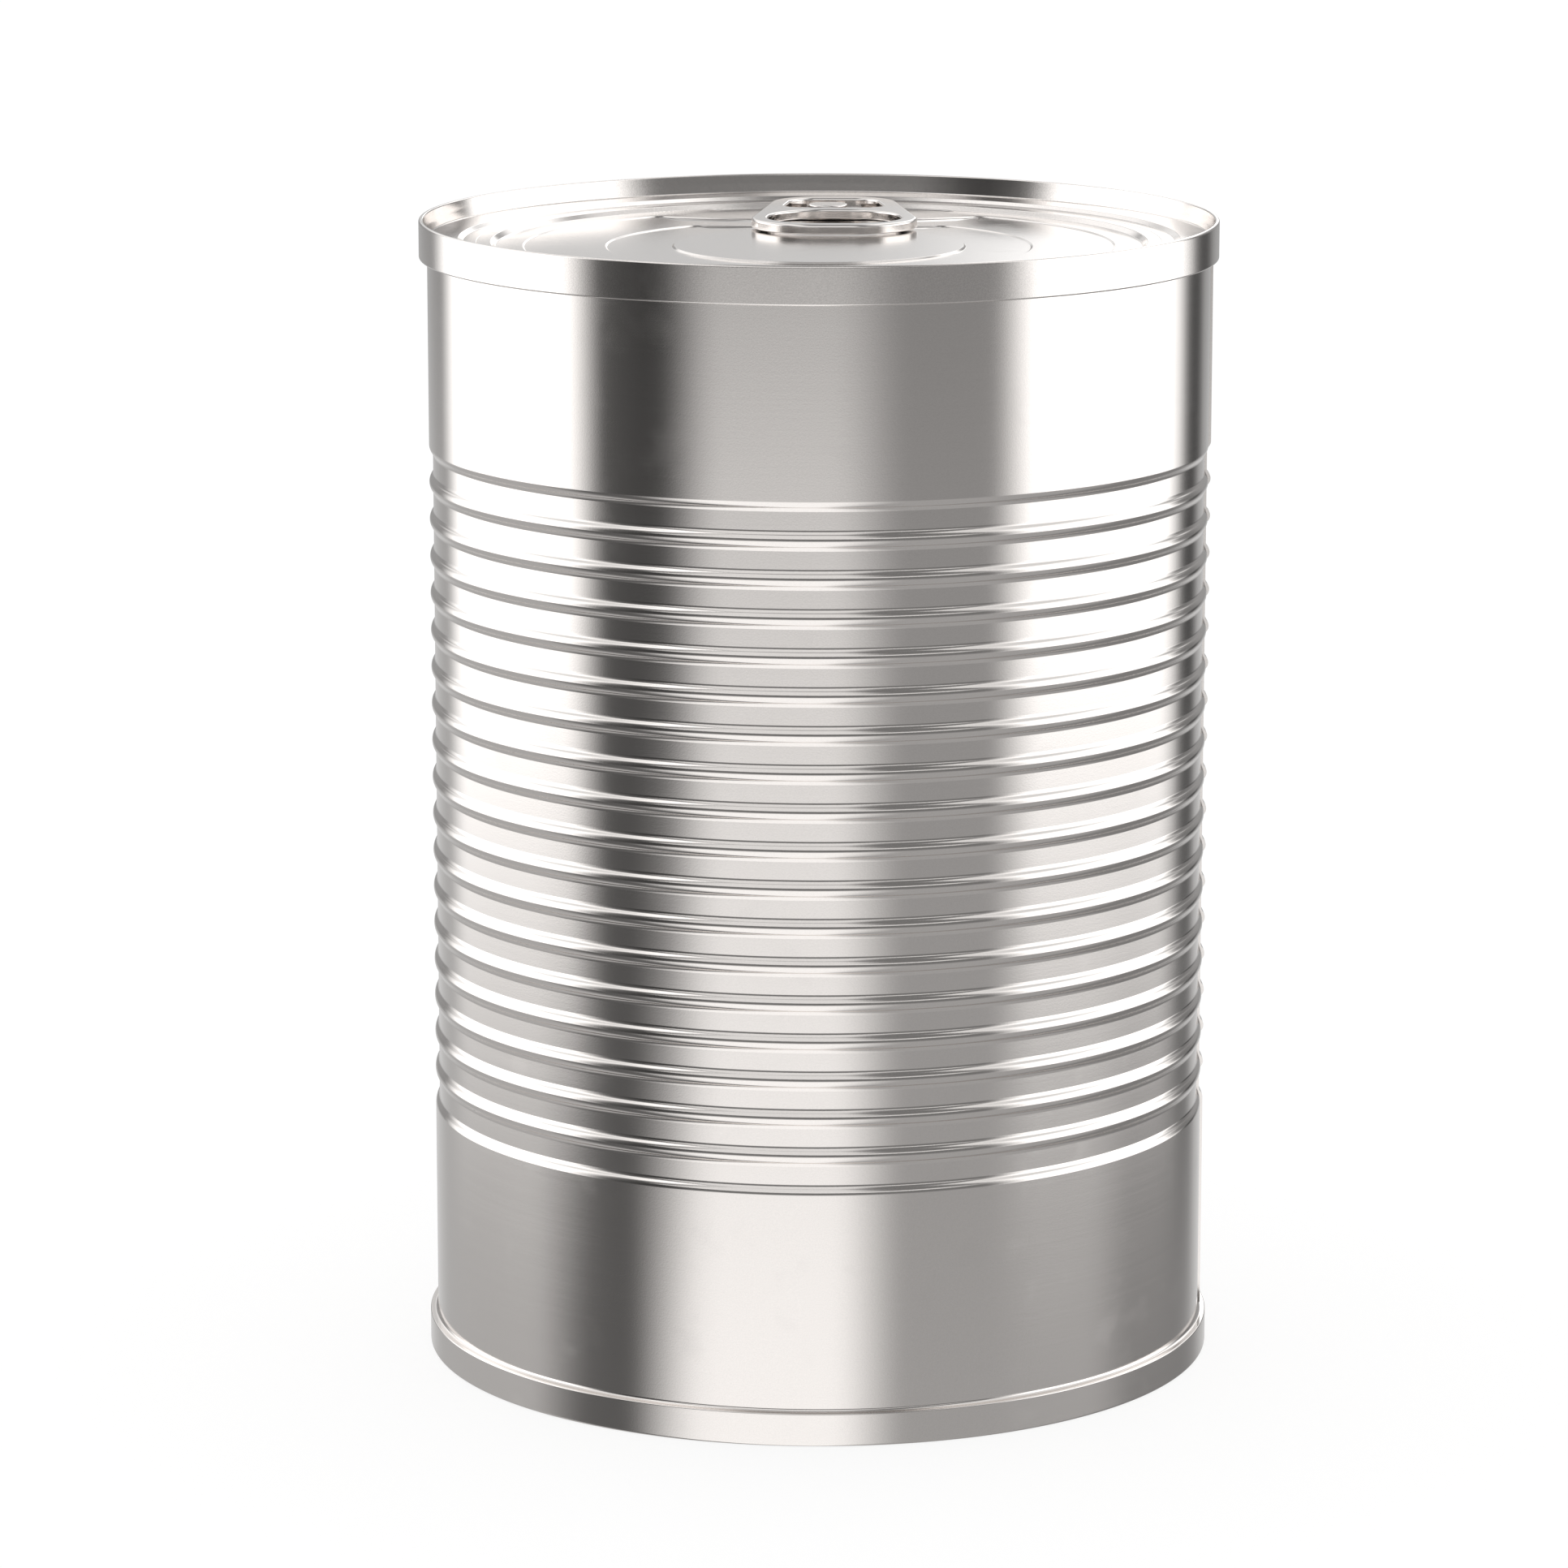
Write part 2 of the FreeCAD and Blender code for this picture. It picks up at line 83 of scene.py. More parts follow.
# ---------------------------------------------------------------- shader maths
class Signal:
    """A shader socket that can be written in Python expressions."""

    def __init__(self, sheet: "NodeSheet", socket: bpy.types.NodeSocket) -> None:
        """Wraps a socket.

        Args:
            sheet: the node tree the socket belongs to.
            socket: an output socket.
        """
        self.sheet = sheet
        self.socket = socket

    def _math(self, operation: str, *values: "Signal | float") -> "Signal":
        """Adds one Math node with these inputs."""
        return self.sheet.add("ShaderNodeMath", {"operation": operation}, dict(enumerate(values)))

    def __add__(self, other: "Signal | float") -> "Signal":
        """Sum."""
        return self._math("ADD", self, other)

    def __radd__(self, other: float) -> "Signal":
        """Sum with a number on the left."""
        return self._math("ADD", other, self)

    def __sub__(self, other: "Signal | float") -> "Signal":
        """Difference."""
        return self._math("SUBTRACT", self, other)

    def __rsub__(self, other: float) -> "Signal":
        """Difference with a number on the left."""
        return self._math("SUBTRACT", other, self)

    def __mul__(self, other: "Signal | float") -> "Signal":
        """Product."""
        return self._math("MULTIPLY", self, other)

    def __rmul__(self, other: float) -> "Signal":
        """Product with a number on the left."""
        return self._math("MULTIPLY", other, self)

    def __neg__(self) -> "Signal":
        """Opposite."""
        return self._math("MULTIPLY", self, -1.0)

    def angle_with(self, other: "Signal") -> "Signal":
        """Angle, in radians, whose tangent is self over other."""
        return self._math("ARCTAN2", self, other)

    def arcsine(self) -> "Signal":
        """Angle, in radians, whose sine this is."""
        return self._math("ARCSINE", self)

    def away_from(self, angle: float) -> "Signal":
        """How far, in radians, this direction is from another, by the shorter way round."""
        return self._math("PINGPONG", self - angle, math.pi)

    def smooth(self, low: float, high: float) -> "Signal":
        """Soft step.

        Args:
            low: where the step gives 0.
            high: where it gives 1; it may be below low, and the step then falls.

        Returns:
            A value between 0 and 1.
        """
        settings = {"interpolation_type": "SMOOTHSTEP"}
        inputs = {"Value": self, "From Min": low, "From Max": high}
        return self.sheet.add("ShaderNodeMapRange", settings, inputs)


class NodeSheet:
    """A node tree with one way to add a node."""

    def __init__(self, owner: bpy.types.Material | bpy.types.World) -> None:
        """Turns the owner's nodes on and empties its tree.

        Args:
            owner: the material or world that the nodes belong to.
        """
        owner.use_nodes = True
        self.tree = owner.node_tree
        self.tree.nodes.clear()

    def add(
        self,
        kind: str,
        settings: dict[str, object] | None = None,
        inputs: dict[str | int, object] | None = None,
        output: str | int = 0,
    ) -> Signal:
        """Adds a node.

        Args:
            kind: the node's type name.
            settings: properties to set first, such as a Math node's operation.
            inputs: values or signals for its sockets, by name or place.
            output: the socket to hand back.

        Returns:
            The chosen output.
        """
        node = self.tree.nodes.new(kind)
        for name, value in (settings or {}).items():
            setattr(node, name, value)
        for name, value in (inputs or {}).items():
            if isinstance(value, Signal):
                self.tree.links.new(value.socket, node.inputs[name])
            else:
                node.inputs[name].default_value = value
        return Signal(self, node.outputs[output] if node.outputs else None)

    def split(self, vector: Signal) -> tuple[Signal, Signal, Signal]:
        """Parts of a vector.

        Args:
            vector: a vector signal.

        Returns:
            Its x, y and z.
        """
        parts = self.add("ShaderNodeSeparateXYZ", {}, {0: vector}).socket.node.outputs
        return tuple(Signal(self, part) for part in parts)

    def join(self, *parts: "Signal | float") -> Signal:
        """A vector from its x, y and z."""
        return self.add("ShaderNodeCombineXYZ", {}, dict(enumerate(parts)))

    def noise(self, at: Signal, scale: float, detail: float, roughness: float) -> Signal:
        """Perlin noise.

        Args:
            at: where it is read.
            scale: cells per unit of length.
            detail: octaves.
            roughness: how strong the fine octaves are.

        Returns:
            A value around 0.5.
        """
        inputs = {"Vector": at, "Scale": scale, "Detail": detail, "Roughness": roughness}
        return self.add("ShaderNodeTexNoise", {}, inputs)

    def blend(self, factor: "Signal | float", first: object, second: object) -> Signal:
        """Mix of two colours.

        Args:
            factor: 0 gives the first, 1 the second.
            first: a colour or a signal.
            second: a colour or a signal.

        Returns:
            The mixed colour.
        """
        return self.add("ShaderNodeMix", {"data_type": "RGBA"}, {0: factor, 6: first, 7: second}, 2)

    def between(self, factor: Signal, first: "Signal | float", second: float) -> Signal:
        """A number that goes from the first to the second as the factor goes from 0 to 1."""
        return self.add("ShaderNodeMix", {"data_type": "FLOAT"}, {0: factor, 2: first, 3: second})


class Grain(Enum):
    """Which way the rolling lines of the sheet run."""

    AROUND = "around the can"
    ACROSS = "straight across the sheet"


@dataclass(frozen=True)
class Tinplate:
    """Bright tin-coated steel with a satin grain.

    Counts are patches of noise in a metre of sheet, or in a radian round the can. Tones and glosses
    say how far each kind of patch moves the colour, from 0 to 1, and the roughness.
    """

    name: str
    tint: tuple[float, float, float] = (0.822, 0.785, 0.758)
    tint_spread: float = 0.10
    gloss: float = 0.12
    grain: Grain = Grain.AROUND
    grain_size: float = 0.14
    grain_depth: float = 0.0012
    speckle: float = 0.42
    line_count: float = 2500.0
    line_count_around: float = 0.9
    line_count_along: float = 30.0
    line_depth: float = 0.0004
    line_tone: float = 0.05
    line_gloss: float = 0.03
    cloud_count: float = 45.0
    cloud_tone: float = 0.10
    cloud_gloss: float = 0.05
    smudge_count: float = 190.0
    smudge_edge: Place = (0.56, 0.72)
    smudge_tone: float = 0.03
    smudge_gloss: float = 0.03

    def _along(self, sheet: NodeSheet, point: Signal) -> Signal:
        """Coordinates stretched along the rolling lines.

        Args:
            sheet: the material's nodes.
            point: the place on the object.

        Returns:
            A vector in which a line is one patch of noise.
        """
        x, y, z = sheet.split(point)
        if self.grain is Grain.AROUND:
            turn = (-y).angle_with(-x)
            return sheet.join(turn * self.line_count_around, z * self.line_count, 0.0)
        along = self.line_count_along
        return sheet.join(x * along, y * self.line_count, z * along)

    def material(self) -> bpy.types.Material:
        """Builds the material.

        Returns:
            A metal whose tone, gloss and surface all vary a little.
        """
        made = bpy.data.materials.new(self.name)
        sheet = NodeSheet(made)
        point = sheet.add("ShaderNodeTexCoord", {}, {}, "Object")
        fine = sheet.noise(point, 1.0 / (self.grain_size * MM), detail=1.0, roughness=0.6)
        lines = sheet.noise(self._along(sheet, point), 1.0, detail=1.0, roughness=0.65)
        clouds = sheet.noise(point, self.cloud_count, detail=2.0, roughness=0.55)
        patches = sheet.noise(point, self.smudge_count, detail=2.0, roughness=0.6)
        smudges = patches.smooth(*self.smudge_edge)
        tone = (clouds - 0.5) * self.cloud_tone + (lines - 0.5) * self.line_tone
        shade = 0.5 + tone - smudges * self.smudge_tone + (fine - 0.5) * self.speckle
        dark, light = (
            tuple(min(1.0, side * part) for part in self.tint) + (1.0,)
            for side in (1.0 - self.tint_spread, 1.0 + self.tint_spread)
        )
        satin = self.gloss + (clouds - 0.5) * self.cloud_gloss + (lines - 0.5) * self.line_gloss
        height = fine * (self.grain_depth * MM) + lines * (self.line_depth * MM)
        bump = sheet.add("ShaderNodeBump", {}, {"Strength": 1.0, "Distance": 1.0, "Height": height})
        inputs = {
            "Base Color": sheet.blend(shade, dark, light),
            "Metallic": 1.0,
            "Roughness": satin + smudges * self.smudge_gloss,
            "Normal": bump,
        }
        shader = sheet.add("ShaderNodeBsdfPrincipled", {}, inputs)
        sheet.add("ShaderNodeOutputMaterial", {}, {"Surface": shader})
        return made


# ---------------------------------------------------------------- meshes
class Skin:
    """A mesh whose corners carry their exact normals, so that wide metal bands reflect cleanly."""

    def __init__(self) -> None:
        """Starts with nothing in it."""
        self.points: list[Array] = []
        self.faces: list[tuple[int, ...]] = []
        self.normals: list[Array] = []
        self.count = 0

    def add_row(self, points: Array) -> Array:
        """Adds vertices.

        Args:
            points: one row of places, in millimetres.

        Returns:
            Their numbers in the mesh.
        """
        self.points.append(points)
        first = self.count
        self.count += len(points)
        return np.arange(first, self.count)

    def strip(
        self, low: Array, high: Array, low_normals: Array, high_normals: Array, closed: bool = True
    ) -> None:
        """Adds quads between two rows; a row of one vertex makes a fan.

        Args:
            low: vertex numbers of the first row.
            high: vertex numbers of the second row.
            low_normals: one normal for each vertex of the first row.
            high_normals: one normal for each vertex of the second row.
            closed: whether the last vertex joins on to the first.
        """
        span = max(len(low), len(high))
        for i in range(span if closed else span - 1):
            j = (i + 1) % span
            first = [0] if len(low) == 1 else [i, j]
            second = [0] if len(high) == 1 else [j, i]
            corners = [low[k] for k in first] + [high[k] for k in second]
            normals = [low_normals[k] for k in first] + [high_normals[k] for k in second]
            self.face(corners, normals)

    def face(self, corners: Sequence[int], normals: Sequence[Array]) -> None:
        """Adds one face.

        Args:
            corners: its vertex numbers, anticlockwise from outside.
            normals: the normal at each corner.
        """
        self.faces.append(tuple(int(corner) for corner in corners))
        self.normals.extend(normals)

    def build(self, name: str, material: bpy.types.Material) -> Object:
        """Makes the object.

        Args:
            name: the piece's name.
            material: its finish.

        Returns:
            The new object.
        """
        mesh = bpy.data.meshes.new(name)
        mesh.from_pydata((np.concatenate(self.points) * MM).tolist(), [], self.faces)
        mesh.polygons.foreach_set("use_smooth", [True] * len(mesh.polygons))
        mesh.normals_split_custom_set(np.asarray(self.normals).tolist())
        mesh.materials.append(material)
        mesh.update()
        return put_in_scene(name, mesh)


class Section:
    """A line of straight runs and arcs in the plane of radius and height."""

    ARC_STEPS = 6

    def __init__(self, radius: float, height: float) -> None:
        """Starts the line.

        Args:
            radius: distance from the axis.
            height: distance above the base.
        """
        self.points: list[Place] = [(radius, height)]
        self.normals: list[tuple[Place, Place]] = []

    def line_to(self, radius: float, height: float) -> None:
        """Goes straight to a point; the outside is on the right hand.

        Args:
            radius: distance from the axis.
            height: distance above the base.
        """
        run, rise = radius - self.points[-1][0], height - self.points[-1][1]
        length = math.hypot(run, rise)
        if length < TINY:
            return
        normal = (rise / length, -run / length)
        self.points.append((radius, height))
        self.normals.append((normal, normal))

    def arc_to(self, centre: Place, start_deg: float, end_deg: float) -> None:
        """Follows an arc from where the line is now.

        Args:
            centre: the arc's centre.
            start_deg: direction from the centre to the arc's start, 0 being outward and 90 up.
            end_deg: direction to its end; below start_deg the arc is hollow.
        """
        radius = math.dist(self.points[-1], centre)
        side = math.copysign(1.0, end_deg - start_deg)
        turns = np.radians(np.linspace(start_deg, end_deg, self.ARC_STEPS + 1)).tolist()
        ways = [(math.cos(turn), math.sin(turn)) for turn in turns]
        for before, after in zip(ways, ways[1:]):
            self.points.append((centre[0] + radius * after[0], centre[1] + radius * after[1]))
            self.normals.append(tuple((side * out, side * up) for out, up in (before, after)))

    @classmethod
    def filleted(cls, corners: Sequence[tuple[float, float, float]]) -> "Section":
        """A line through corners that are rounded.

        Args:
            corners: radius, height and fillet radius of each.

        Returns:
            The section.
        """
        places = [np.array(corner[:2]) for corner in corners]
        made = cls(*places[0].tolist())
        for before, here, after, (*_, fillet) in zip(places, places[1:], places[2:], corners[1:]):
            if fillet <= 0.0:
                made.line_to(*here.tolist())
                continue
            inward, onward = ((far - here) / math.dist(far, here) for far in (before, after))
            half = math.acos(float(np.clip(inward @ onward, -1.0, 1.0))) / 2
            middle = (inward + onward) / np.linalg.norm(inward + onward)
            centre = here + middle * fillet / math.sin(half)
            start, end = (here + way * fillet / math.tan(half) for way in (inward, onward))
            first, last = (
                math.degrees(math.atan2(place[1] - centre[1], place[0] - centre[0]))
                for place in (start, end)
            )
            last = first + (last - first + 180.0) % 360.0 - 180.0
            made.line_to(*start.tolist())
            made.arc_to(tuple(centre.tolist()), first, last)
        made.line_to(*places[-1].tolist())
        return made

    def turned(self, segments: int, about: Place = (0.0, 0.0), span: float = 360.0) -> Skin:
        """Turns the line about an upright axis.

        Args:
            segments: runs around.
            about: where the axis is.
            span: degrees it is turned through, from +X towards +Y.

        Returns:
            The skin that it sweeps.
        """
        closed = span >= 360.0
        turns = np.radians(np.linspace(0.0, span, segments + 1))
        if closed:
            turns = turns[:-1]
        around = np.stack([np.cos(turns), np.sin(turns)], axis=1)
        skin = Skin()
        rows = []
        for radius, height in self.points:
            ring = around if radius > TINY else around[:1]
            flat = np.array(about) + ring * radius
            rows.append(skin.add_row(np.column_stack([flat, np.full(len(flat), height)])))
        for low, high, ends in zip(rows, rows[1:], self.normals):
            normals = [
                np.column_stack([around * out, np.full(len(around), up)]) for out, up in ends
            ]
            skin.strip(low, high, *normals, closed)
        return skin


# ---------------------------------------------------------------- the can
@dataclass
class CanSizes:
    """Sizes that the can's pieces share, in millimetres."""

    height: float = 110.0
    body_radius: float = 37.24
    top_seam_height: float = 3.60
    bottom_seam_height: float = 3.15
    panel_depth: float = 2.60
    tab_shift: float = 1.50
    tongue_thickness: float = 0.50
    around: int = 360

    @property
    def top_seam_z(self) -> float:
        """Height of the lower edge of the top seam."""
        return self.height - self.top_seam_height

    @property
    def panel_z(self) -> float:
        """Height of the top end's panel."""
        return self.height - self.panel_depth


@dataclass
class Part:
    """A sub-assembly of the can."""

    sizes: CanSizes
    finish: Tinplate

    def skins(self) -> dict[str, Skin]:
        """Its meshes by piece name."""
        raise NotImplementedError

    def build(self) -> list[Object]:
        """Builds and dresses its pieces.

        Returns:
            The new objects.
        """
        material = self.finish.material()
        return [skin.build(name, material) for name, skin in self.skins().items()]


@dataclass
class CanBody(Part):
    """Beaded body with a lapped side seam."""

    top_band: float = 18.35
    bottom_band: float = 21.19
    bead_pitch: float = 3.59
    bead_height: float = 0.37
    crest_radius: float = 0.85
    valley_radius: float = 0.63
    end_valley: float = 3.12
    foot_fillet: float = 0.30
    lap_thickness: float = 0.30
    lap_width: float = 5.0
    lap_around: int = 8

    def _side(self) -> Place:
        """Measures one side of a bead.

        Returns:
            Its turn, in degrees, and its height.
        """
        total = self.crest_radius + self.valley_radius
        turn = math.acos(1 - self.bead_height / total)
        return math.degrees(turn), total * math.sin(turn)

    def _centres(self) -> list[float]:
        """Spaces the full beads evenly between the plain bands.

        Returns:
            Heights of their crests.
        """
        low = self.sizes.bottom_seam_height + self.bottom_band
        high = self.sizes.top_seam_z - self.top_band
        spaces = math.floor((high - low - 2 * self.end_valley) / self.bead_pitch + 0.01)
        first = (low + high - spaces * self.bead_pitch) / 2
        return [first + i * self.bead_pitch for i in range(spaces + 1)]

    def _bead_side(self, section: Section, valley: float, foot: float, rising: bool) -> None:
        """One side of a bead, in two arcs.

        Args:
            section: the line that grows.
            valley: radius of the valley.
            foot: height of the side's lower end.
            rising: True from the valley out to the crest, False from the crest back in.
        """
        turn, run = self._side()
        crest = valley + self.bead_height
        hollow, crown = valley + self.valley_radius, crest - self.crest_radius
        if rising:
            arcs = ((hollow, foot, 180.0, 180.0 - turn), (crown, foot + run, -turn, 0.0))
        else:
            arcs = ((crown, foot, 0.0, turn), (hollow, foot + run, 180.0 + turn, 180.0))
        section.line_to(valley if rising else crest, foot)
        for radius, height, start_deg, end_deg in arcs:
            section.arc_to((radius, height), start_deg, end_deg)

    def _wall(self, section: Section, outset: float) -> None:
        """The beaded wall, bottom to top.

        Args:
            section: the line that grows.
            outset: how far it is pushed out.
        """
        run = self._side()[1]
        valley = self.sizes.body_radius - self.bead_height + outset
        low = self.sizes.bottom_seam_height + self.bottom_band - run / 2
        high = self.sizes.top_seam_z - self.top_band - run / 2
        self._bead_side(section, valley, low, False)
        for centre in self._centres():
            self._bead_side(section, valley, centre - run, True)
            self._bead_side(section, valley, centre, False)
        self._bead_side(section, valley, high, True)
        section.line_to(self.sizes.body_radius + outset, self.sizes.top_seam_z)

    def _shell(self) -> Skin:
        """Draws the whole round body.

        Returns:
            Its skin.
        """
        foot = self.sizes.bottom_seam_height
        flare = self.sizes.body_radius + self.foot_fillet
        section = Section(0.0, foot)
        section.line_to(flare, foot)
        section.arc_to((flare, foot + self.foot_fillet), -90.0, -180.0)
        self._wall(section, 0.0)
        section.line_to(0.0, self.sizes.top_seam_z)
        return section.turned(self.sizes.around)

    def _lap(self) -> Skin:
        """Draws the outer layer of the side seam, with its two long edges.

        Returns:
            Its skin.
        """
        outset = self.lap_thickness
        span = math.degrees(self.lap_width / self.sizes.body_radius)
        section = Section(self.sizes.body_radius + outset, self.sizes.bottom_seam_height)
        self._wall(section, outset)
        skin = section.turned(self.lap_around, span=span)
        outer = np.array(section.points)
        for turn, side in ((0.0, -1.0), (math.radians(span), 1.0)):
            across = np.array([math.cos(turn), math.sin(turn)])
            rows = []
            for depth in (0.0, outset + self.bead_height / 2):
                flat = np.outer(outer[:, 0] - depth, across)
                rows.append(skin.add_row(np.column_stack([flat, outer[:, 1]])))
            normals = np.tile([-across[1] * side, across[0] * side, 0.0], (len(outer), 1))
            low, high = rows if side < 0 else rows[::-1]
            skin.strip(low, high, normals, normals, closed=False)
        return skin

    def skins(self) -> dict[str, Skin]:
        """The round body and the lap on it."""
        return {"body_sheet": self._shell(), "side_seam_lap": self._lap()}


@dataclass
class PressedOutline:
    """A line pressed into the panel: round in front, with an edge across the back."""

    radius: float
    corner_deg: float = 90.0
    dip: float = 0.0
    corner_radius: float = 0.0

    def reach(self, turns: Array) -> Array:
        """Distance from the axis to the outline.

        Args:
            turns: directions from the axis, in radians.

        Returns:
            One distance for each.
        """
        if self.corner_deg >= 90.0:
            return np.full(len(turns), self.radius)
        corner = math.radians(self.corner_deg)
        half = self.radius * math.cos(corner)
        bow = (half * half + self.dip * self.dip) / (2 * self.dip)
        bow_y = self.radius * math.sin(corner) - self.dip + bow
        fillet = self.corner_radius
        inner = self.radius - fillet
        outer = bow + fillet
        fillet_y = (inner**2 - outer**2 + bow_y**2) / (2 * bow_y)
        fillet_x = math.sqrt(inner**2 - fillet_y**2)
        share = fillet / outer
        on_round = math.atan2(fillet_y, fillet_x)
        on_back = math.atan2(fillet_y + (bow_y - fillet_y) * share, fillet_x * (1.0 - share))
        found = []
        for turn in turns:
            mirrored = abs((turn - math.pi / 2 + math.pi) % (2 * math.pi) - math.pi)
            away = math.pi / 2 - mirrored
            if away <= on_round:
                found.append(self.radius)
            elif away >= on_back:
                found.append(self._hit(away, (0.0, bow_y), bow, -1.0))
            else:
                found.append(self._hit(away, (fillet_x, fillet_y), fillet, 1.0))
        return np.array(found)

    @staticmethod
    def _hit(turn: float, centre: Place, radius: float, side: float) -> float:
        """Distance at which a ray from the axis crosses a circle.

        Args:
            turn: direction of the ray, in radians.
            centre: the circle's centre.
            radius: the circle's radius.
            side: -1 where the ray enters it, 1 where it leaves.

        Returns:
            The distance from the axis.
        """
        x, y = centre
        along = x * math.cos(turn) + y * math.sin(turn)
        return along + side * math.sqrt(max(0.0, along**2 - (x * x + y * y - radius * radius)))


@dataclass
class TopEnd(Part):
    """Easy-open end: double seam, chuck wall, scored ring, pressed panel and rivet."""

    seam_proud: float = 0.78
    seam_top_fillet: float = 0.20
    seam_lower_fillet: float = 0.15
    rim_thickness: float = 0.40
    rim_inner_fillet: float = 0.15
    wall_taper: float = 0.32
    wall_depth: float = 1.80
    wall_hollow: float = 0.012
    wall_hollow_radius: float = 10.0
    ledge_width: float = 2.98
    ledge_fall: float = 0.07
    ring_run: float = 0.50
    ring_depth: float = 2.17
    score_inset: float = 1.27
    score_width: float = 0.12
    score_depth: float = 0.03
    score_edge_fillet: float = 0.02
    score_foot_fillet: float = 0.04
    score_to_panel: float = 1.32
    panel_run: float = 0.48
    step_fillet: float = 0.18
    wall_foot_fillet: float = 0.12
    panel_edge_rows: tuple[float, ...] = (0.35, 0.45, 0.52, 0.60, 0.70)
    panel_centre_rows: tuple[float, ...] = (0.8, 0.6, 0.4, 0.2)
    outer_margin: float = 2.55
    inner_margin: float = 7.86
    platform_margin: float = 6.34
    platform_rise: float = 0.18
    platform_run: float = 0.25
    press_step: float = 0.10
    press_run: float = 0.22
    press_ease: float = 0.15
    outer_corner_deg: float = 55.5
    inner_corner_deg: float = 52.5
    press_corner_radius: float = 2.0
    outer_dip: float = 3.0
    inner_dip: float = 1.2
    back_bead_inset: float = 0.34
    back_bead_width: float = 0.50
    back_bead_height: float = 0.10
    back_bead_half_deg: float = 24.0
    back_bead_end_deg: float = 2.0
    rivet_at: Place = (0.90, 25.1)
    rivet_radius: float = 1.93
    rivet_thickness: float = 0.48
    rivet_fillet: float = 0.14
    shank_radius: float = 1.30
    shank_sink: float = 0.2
    rivet_around: int = 96
    panel_around: int = 720
    press_rows: int = 13
    press_margin: float = 0.1

    @property
    def panel_radius(self) -> float:
        """Adds up the widths from the seam in.

        Returns:
            Radius of the flat panel.
        """
        seam = self.sizes.body_radius + self.seam_proud
        rim = self.rim_thickness + self.wall_taper + self.ledge_width + self.ring_run
        return seam - rim - self.score_inset - self.score_to_panel - self.panel_run

    def _rim(self) -> Section:
        """Draws the line from under the seam, over the rim and down to the panel.

        Returns:
            The section of the rim.
        """
        top = self.sizes.height
        seam = self.sizes.body_radius + self.seam_proud
        wall = seam - self.rim_thickness
        foot = wall - self.wall_taper
        ledge = foot - self.ledge_width
        ring = ledge - self.ring_run
        score = ring - self.score_inset
        step = score - self.score_to_panel
        middle = (wall + foot) / 2 + self.wall_hollow
        ledge_z = top - self.wall_depth
        ring_z = top - self.ring_depth
        half = self.score_width / 2
        return Section.filleted(
            [
                (0.0, self.sizes.top_seam_z, 0.0),
                (seam, self.sizes.top_seam_z, self.seam_lower_fillet),
                (seam, top, self.seam_top_fillet),
                (wall, top, self.rim_inner_fillet),
                (middle, top - self.wall_depth / 2, self.wall_hollow_radius),
                (foot, ledge_z, self.wall_foot_fillet),
                (ledge, ledge_z - self.ledge_fall, self.step_fillet),
                (ring, ring_z, self.step_fillet),
                (score + half, ring_z, self.score_edge_fillet),
                (score, ring_z - self.score_depth, self.score_foot_fillet),
                (score - half, ring_z, self.score_edge_fillet),
                (step, ring_z, self.step_fillet),
                (self.panel_radius, self.sizes.panel_z, self.step_fillet),
                (self.panel_radius - self.panel_edge_rows[0], self.sizes.panel_z, 0.0),
            ]
        )

    def _outlines(self) -> tuple[PressedOutline, PressedOutline, PressedOutline]:
        """Places what is pressed into the panel.

        Returns:
            The outer outline, the inner outline and the platform.
        """
        outer = self.panel_radius - self.outer_margin
        inner = outer - self.inner_margin
        rounding = self.press_corner_radius
        return (
            PressedOutline(outer, self.outer_corner_deg, self.outer_dip, rounding),
            PressedOutline(inner, self.inner_corner_deg, self.inner_dip, rounding),
            PressedOutline(inner - self.platform_margin),
        )

    def _heights(self, radii: Array, turns: Array, reaches: list[Array]) -> Array:
        """Height of the panel at points given by radius and direction.

        Args:
            radii: distances from the axis, one row for each ring of points.
            turns: directions from the axis.
            reaches: distance of each pressed outline in those directions.

        Returns:
            Heights, in the shape of radii.
        """
        height = np.full(radii.shape, self.sizes.panel_z)
        press = (self.press_run, -self.press_step)
        platform = (self.platform_run, self.platform_rise)
        for reach, (run, rise) in zip(reaches, (press, press, platform)):
            lean = np.gradient(reach, turns[1] - turns[0]) / reach
            away = (radii - reach) / np.sqrt(1.0 + lean**2)
            height += rise * self._eased(np.clip(-away / run, 0.0, 1.0))
        return height + self._back_bead(radii, turns)

    def _eased(self, part: Array) -> Array:
        """Straight slope with rounded ends.

        Args:
            part: how far across the slope, from 0 to 1.

        Returns:
            How much of the step has been made, from 0 to 1.
        """
        ease = self.press_ease
        steep = 1.0 / (1.0 - ease)
        start = steep * part * part / (2 * ease)
        end = 1.0 - steep * (1.0 - part) ** 2 / (2 * ease)
        middle = steep * (part - ease / 2)
        return np.where(part < ease, start, np.where(part > 1.0 - ease, end, middle))

    def _back_bead(self, radii: Array, turns: Array) -> Array:
        """Rise of the short bead behind the tab.

        Args:
            radii: distances from the axis.
            turns: directions from the axis.

        Returns:
            Heights above the panel.
        """
        centre = self.panel_radius - self.back_bead_inset
        middle = math.pi / 2 - self.sizes.tab_shift / centre
        across = np.clip(1.0 - ((radii - centre) / (self.back_bead_width / 2)) ** 2, 0.0, 1.0)
        left = self.back_bead_half_deg - np.degrees(np.abs(turns - middle))
        return self.back_bead_height * across * np.clip(left / self.back_bead_end_deg, 0.0, 1.0)

